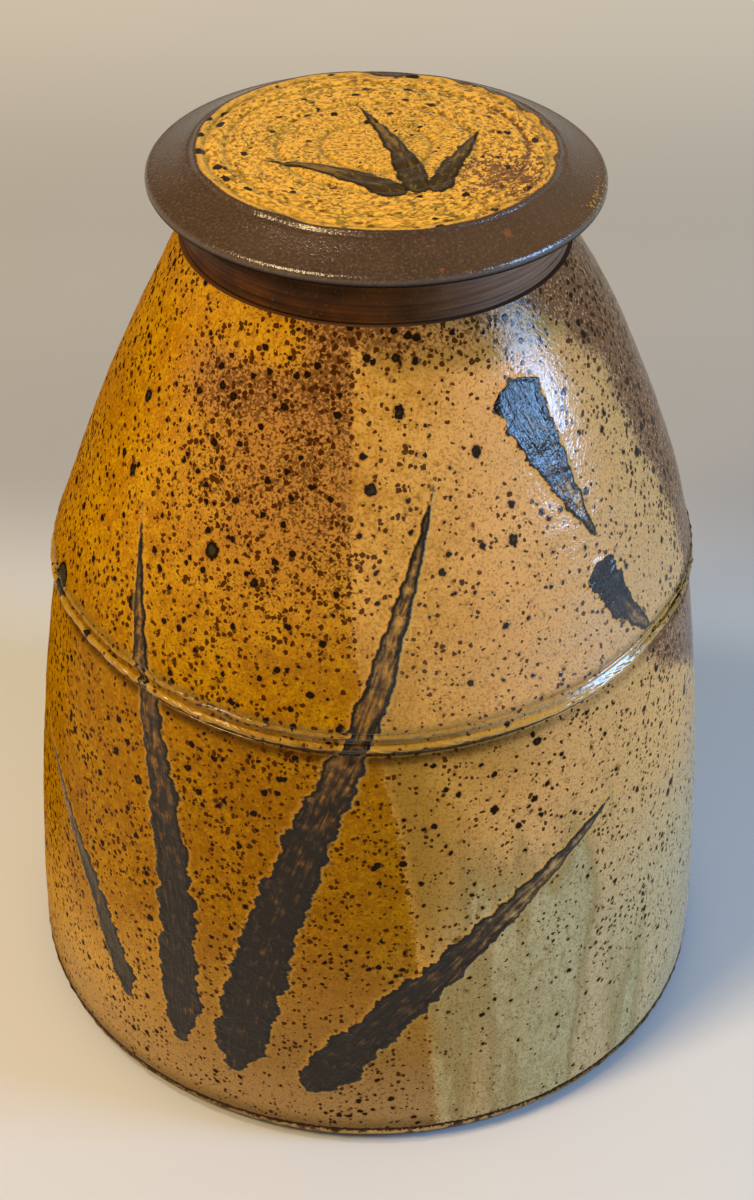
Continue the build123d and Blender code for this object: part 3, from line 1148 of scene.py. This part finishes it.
collarColours = {
    "dark": "#391f09",
    "warm": "#5c340d",
    # painted light from the window, on the collar's right
    "worn": "#9c7860",
    "scum": "#7c5a38",
    # painted shade in the throwing lines
    "cut": "#1c0f06",
    "noises": {
        "cloud": (12.0, 3.0, 0.5),
        "grit": (0.9, 3.0, 0.5),
        "streak": (1.4, 3.0, 0.6, (0.06, 0.06, 1.0)),  # fine lines left by the sponge as the collar turned
    },
}


def ironWashOnClay():
    # Iron wash on the bare collar, sponged on as it turned: dark red-brown, semi-matt, streaked round it;
    # painted light from the window lightens its right side and painted shade darkens its throwing lines
    material, add, place, colour, read = newMaterial("iron_wash_on_clay", collarColours, "worn cut")
    blend = add("Math", (read.streak, 0.35, read.cloud), **timesPlus)
    dust = add("MapRange", (read.grit, 0.6, 0.75, 0.0, 0.5))
    tone = layOver(add, colour.dark, [
        (blend, colour.warm, (0.45, 0.9)),
        # painted window light on the right, broken by the streaks
        (read.worn, colour.worn, read.streak),
        (dust, colour.scum),
        # painted shade in the throwing lines and at the collar's foot
        (read.cut, colour.cut, 0.8),
    ])
    height = add("Math", (read.grit, 0.5, read.streak), **timesPlus)
    roughness = add("MapRange", (read.cloud, 0, 1, 0.38, 0.5))
    finishMaterial(add, tone, roughness, 0.1, (height, 0.5, 0.18 * mm))
    return material


lidColours = {
    "gold": "#fac148",
    "ochre": "#b07e20",
    "moss": "#7f6e24",
    "bruise": "#6a4030",
    "pepper": "#5a380a",
    "speck": "#20150a",
    "rim": "#dba846",
    "shadow": "#5a4116",
    "slip": "#3b2b20",
    "slipWarm": "#54402f",
    "slipPale": "#6b5744",
    # painted shade under the rim
    "slipUnder": "#150d07",
    # painted window light on the slip's right
    "slipWorn": "#6a5038",
    "slipGrit": "#8d6c40",
    "scar": "#84502f",
    "iron": "#3f2f14",
    "ironEdge": "#2a1f0e",
    "ironBreak": "#86682c",
    "fibre": 1.2,  # the short curdled strokes that follow the turning, mm
    "spread": 26.0,  # radius at which the strokes are as long as they are wide, mm
    "still": (8.0, 20.0),  # nearer the centre than this they lie every way, mm
    "noises": {"curdle": (1.2, 3.0, 0.6), "drift": (15.0, 2.0, 0.5), "grain": (0.8, 3.0, 0.5)},
    "brush": {
        "drawn": (0.7, 0.2, 1.0),
        "swirl": 0.8,
        "combed": (0.08, 0.24, 1.0),
        "hairs": (1.0, 0.4),
        "teeth": (0.3, 0.7, -0.7, 0.5),
        "edge": 1.7,
        "dry": 0.3,
        "broken": (0.5, 0.74),
    },
}


def ashGlazeOnLid():
    # The same ash glaze pooled on the flat lid, inside a bevel of dark iron slip with a metallic lustre:
    # golden, curdled with ochre and moss that follow the turning, with a ragged border
    g = lidColours
    fields = "glaze bruise groove blots scars spatter worn under"
    material, add, place, colour, read = newMaterial("ash_glaze_and_iron_slip", g, fields + brushFields)
    level = add("VectorMath", (place, (1.0, 1.0, 0.0)), **times)
    radius = add("VectorMath", (level,), 1, operation="LENGTH")
    around = add("VectorMath", (level,), operation="NORMALIZE")
    spread = add("VectorMath", {0: around, "Scale": g["spread"] * mm}, operation="SCALE")
    outward = add("CombineXYZ", {2: radius})
    turned = add("VectorMath", (spread, outward), **plus)
    fibre = add("TexNoise", {
        "Vector": turned, "Scale": perMm(g["fibre"]), "Detail": 3.0, "Roughness": 0.6, "Distortion": 0.8,
    })
    near, far = (edge * mm for edge in g["still"])
    still = add("MapRange", (radius, near, far))
    fibre = add("Mix", {0: still, 2: read.curdle, 3: fibre})

    # golden glaze with brush marks
    groove = add("MapRange", (fibre, 0.3, 0.6, 0.1, 0.8))
    groove = add("Math", (read.groove, groove), **times)
    moss = add("Math", (read.drift, 0.9, fibre), **timesPlus)
    bruise = add("Math", (read.bruise, 0.3, fibre), **timesPlus)
    shake = add("TexNoise", {"Vector": place, "Scale": perMm(1.3), "Detail": 1.0}, "Color")
    shaken = add("VectorMath", (shake, (1.2 * mm,) * 3, turned), **timesPlus)
    pepper = ironSpecks(add, shaken, 1.6, (-0.4, 0.74), 0.0, "Red")
    speck = ironSpecks(add, shaken, 3.8, (-0.8, 1.25), 0.0, "Green")
    speck = add("Math", (speck, read.blots), **larger)
    edge = add("Math", (read.grain, 0.7, read.glaze), **timesPlus)
    mark = ironMarks(add, read, colour, g["brush"])
    glaze = layOver(add, colour.gold, [
        (fibre, colour.ochre, (0.41, 0.61)),
        (moss, colour.moss, (0.98, 1.2, 0.0, 0.75)),
        (edge, colour.rim, (2.2, 4.2, 0.6, 0.0)),
        (groove, colour.moss),
        (edge, colour.shadow, (0.5, 1.1, 0.6, 0.0)),
        (bruise, colour.bruise, (0.63, 0.78, 0.0, 0.85)),
        (pepper, colour.pepper, (-0.1, 0.15, 0.0, 0.8)),
        (speck, colour.speck, (-0.1, 0.15)),
        (mark.cover, mark.tone),
    ])

    # iron slip outside the glaze's border
    grit = add("MapRange", (read.grain, 0.62, 0.76, 0.0, 0.5))
    spatter = add("Math", (read.spatter, 0.3, read.grain), **timesPlus)
    spatter = add("MapRange", (spatter, 0.87, 0.94, 0.0, 0.6))
    scar = add("Math", (read.grain, 1.6, read.scars), **timesPlus)
    glazeCover = add("MapRange", (edge, 0.35, 0.85), **soft)
    tone = layOver(add, colour.slip, [
        (read.drift, colour.slipWarm),
        (read.grain, colour.slipPale, (0.42, 0.66, 0.0, 0.4)),
        # painted window light on the right
        (read.worn, colour.slipWorn, 0.5),
        (scar, colour.scar, (0.5, 1.5, 0.0, 0.8)),
        (grit, colour.slipGrit),
        (spatter, colour.gold),
        # painted shade under the rim
        (read.under, colour.slipUnder),
        (glazeCover, glaze),
    ])
    height = add("Math", (fibre, 0.5, read.grain), **timesPlus)
    coarse = add("MapRange", (glazeCover, 0, 1, 0.24 * mm, 0.2 * mm))
    roughness = add("MapRange", (glazeCover, 0, 1, 0.2, 0.28))
    roughness = add("Math", (read.under, 0.5, roughness), **timesPlus)
    gloss = add("MapRange", (read.under, 0, 1, 0.85, 0.02))
    finishMaterial(add, tone, roughness, gloss, (height, 0.8, coarse))
    return material


# Build

wallGlaze = ashGlazeOnStoneware("ash_glaze_on_stoneware", 0.0, (0.1, 0.2), 0.19)
beadGlaze = ashGlazeOnStoneware("ash_glaze_thin_on_the_cordon", 0.35, (0.14, 0.24), 0.09)
liner, stoneware = linerGlaze(), bareStoneware()
collarWash, lidGlaze = ironWashOnClay(), ashGlazeOnLid()
plan = [
    (lowerJar, "jar", "lower_section", "wall_glaze", (wallGlaze, liner, stoneware)),
    (upperJar, "jar", "upper_section", "wall_glaze", (wallGlaze, liner, stoneware)),
    (cordonCoil, "jar", "joint_cordon", "cordon_glaze", (beadGlaze, liner, stoneware)),
    (neckCollar, "jar", "neck_collar", "bare_clay", (collarWash,)),
    (lidPlate, "lid", "lid_plate", "lid_glaze", (lidGlaze, stoneware)),
    (lidFlange, "lid", "lid_flange", "bare_clay", (stoneware,)),
]
for build, body, node, slot, finishes in plan:
    piece = build()
    for finish in finishes:
        piece.data.materials.append(finish)
    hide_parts(node)
    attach(piece, body)
    print("turned", piece.name, len(piece.data.polygons), "faces")


# Stage, light and camera

stage = {
    "radius": 9.0,
    "noises": {"roller": (6.0, 3.0, 0.5)},
    "horizonGlow": (1.0, 2.4),  # far off the board glows with the backdrop's colour, painted light, fading in between these distances, m
    # colour of the board by distance behind the jar, m
    "tones": [(0.0, "#d7d9df"), (0.16, "#d4d5d7"), (0.28, "#b2b1b1"), (0.5, "#bfbdba"), (0.95, "#f2eee8")],
}


def studioFloor():
    # Matt painted board, rolled: pale, turning greyer behind the jar; far off it glows in the backdrop's
    # colour as painted light
    turns = np.linspace(0, 2 * math.pi, 96, endpoint=False)
    rim = [(stage["radius"] * math.cos(t), stage["radius"] * math.sin(t), 0) for t in turns]
    mesh = bpy.data.meshes.new("floor")
    mesh.from_pydata(rim, [], [tuple(range(len(rim)))])
    floor = bpy.data.objects.new("floor", mesh)
    bpy.context.scene.collection.objects.link(floor)
    material, add, place, _, read = newMaterial("matt_painted_board", stage)
    behind = add("SeparateXYZ", (place,), 1)
    tone = add("ValToRGB", (behind,))
    ramp = tone.node.color_ramp
    ramp.interpolation = "EASE"
    for position, _ in stage["tones"][1:-1]:
        ramp.elements.new(position)
    for element, (position, code) in zip(ramp.elements, stage["tones"]):
        element.position = position
        element.color = linearColour(code)
    roughness = add("MapRange", (read.roller, 0, 1, 0.55, 0.65))
    away = add("VectorMath", (place,), 1, operation="LENGTH")
    near, far = stage["horizonGlow"]
    # painted light: the far board glows in the horizon's colour
    horizonGlow = add("MapRange", (away, near, far), **soft)
    relief = (read.roller, 0.1, 0.2 * mm)
    finishMaterial(add, tone, roughness, 0.3, relief, (horizonGlow, linearColour(air["horizon"])))
    mesh.materials.append(material)


lamps = [
    {"name": "warm_key", "place": (-1.0, -0.8, 1.5), "size": (0.5, 0.3), "power": 22.5, "tint": "#ffd896"},
    {"name": "window", "place": (1.38, -0.29, 0.55), "size": (0.44, 0.46), "power": 19.5, "tint": "#8cc0fa"},
    {"name": "ceiling", "place": (-0.65, -0.38, 1.71), "size": (0.2, 0.2), "power": 7.5, "tint": "#ffefd8"},
]
aim = (0, 0, 0.16)
air = {"tint": "#eae2ca", "level": 0.24, "overhead": 0.5, "horizon": "#b4afa5", "above": "#4c443a"}


def hangLamps():
    for lamp in lamps:
        data = bpy.data.lights.new(lamp["name"], "AREA")
        data.shape = "RECTANGLE"
        data.size, data.size_y = lamp["size"]
        data.energy = lamp["power"]
        data.color = linearColour(lamp["tint"])[:3]
        thing = bpy.data.objects.new(lamp["name"], data)
        thing.location = lamp["place"]
        thing.rotation_euler = (Vector(aim) - Vector(lamp["place"])).to_track_quat("-Z", "Y").to_euler()
        bpy.context.scene.collection.objects.link(thing)


def fillAir():
    # soft light from all round, and the plain backdrop that the camera and reflections see
    world = bpy.data.worlds.new("studio_air")
    world.use_nodes = True
    world.node_tree.nodes.clear()
    add = partial(addNode, world.node_tree)
    height = add("SeparateXYZ", (add("TexCoord", {}, "Generated"),), 2)
    strength = add("MapRange", (height, 0.0, 0.8, air["level"], air["overhead"]))
    light = add("Background", {"Color": linearColour(air["tint"]), "Strength": strength})
    climb = add("MapRange", (height, 0.12, 0.4), **soft)
    tone = layOver(add, linearColour(air["horizon"]), [(climb, linearColour(air["above"]))])
    seen = add("Background", {"Color": tone, "Strength": 1.0})
    path = add("LightPath", {}).node.outputs
    looks = path["Is Camera Ray"]
    for ray in ("Is Glossy Ray", "Is Transmission Ray"):
        looks = add("Math", (looks, path[ray]), **larger)
    both = add("MixShader", (looks, light, seen))
    add("OutputWorld", {"Surface": both})
    bpy.context.scene.world = world


camera = {"place": (1.9, -584.4, 577.8), "lens": 66.0, "pitch": 37.1, "roll": 0.8}  # mm, degrees


def standCamera():
    data = bpy.data.cameras.new("photo_view")
    data.lens = camera["lens"]
    data.sensor_width = 36.0
    pitch, roll = math.radians(camera["pitch"]), math.radians(camera["roll"])
    ahead = np.array((0, math.cos(pitch), -math.sin(pitch)))
    above = np.array((0, math.sin(pitch), math.cos(pitch)))
    aside = np.array((1.0, 0, 0))
    right = math.cos(roll) * aside + math.sin(roll) * above
    up = math.cos(roll) * above - math.sin(roll) * aside
    place = np.array(camera["place"]) * mm
    thing = bpy.data.objects.new("photo_view", data)
    rows = [[right[i], up[i], -ahead[i], place[i]] for i in range(3)]
    thing.matrix_world = Matrix(rows + [[0, 0, 0, 1]])
    bpy.context.scene.collection.objects.link(thing)
    bpy.context.scene.camera = thing


studioFloor()
hangLamps()
fillAir()
standCamera()
bpy.context.scene.view_settings.view_transform = "Standard"
print("stage, lamps and camera set")

bpy.context.view_layer.update()
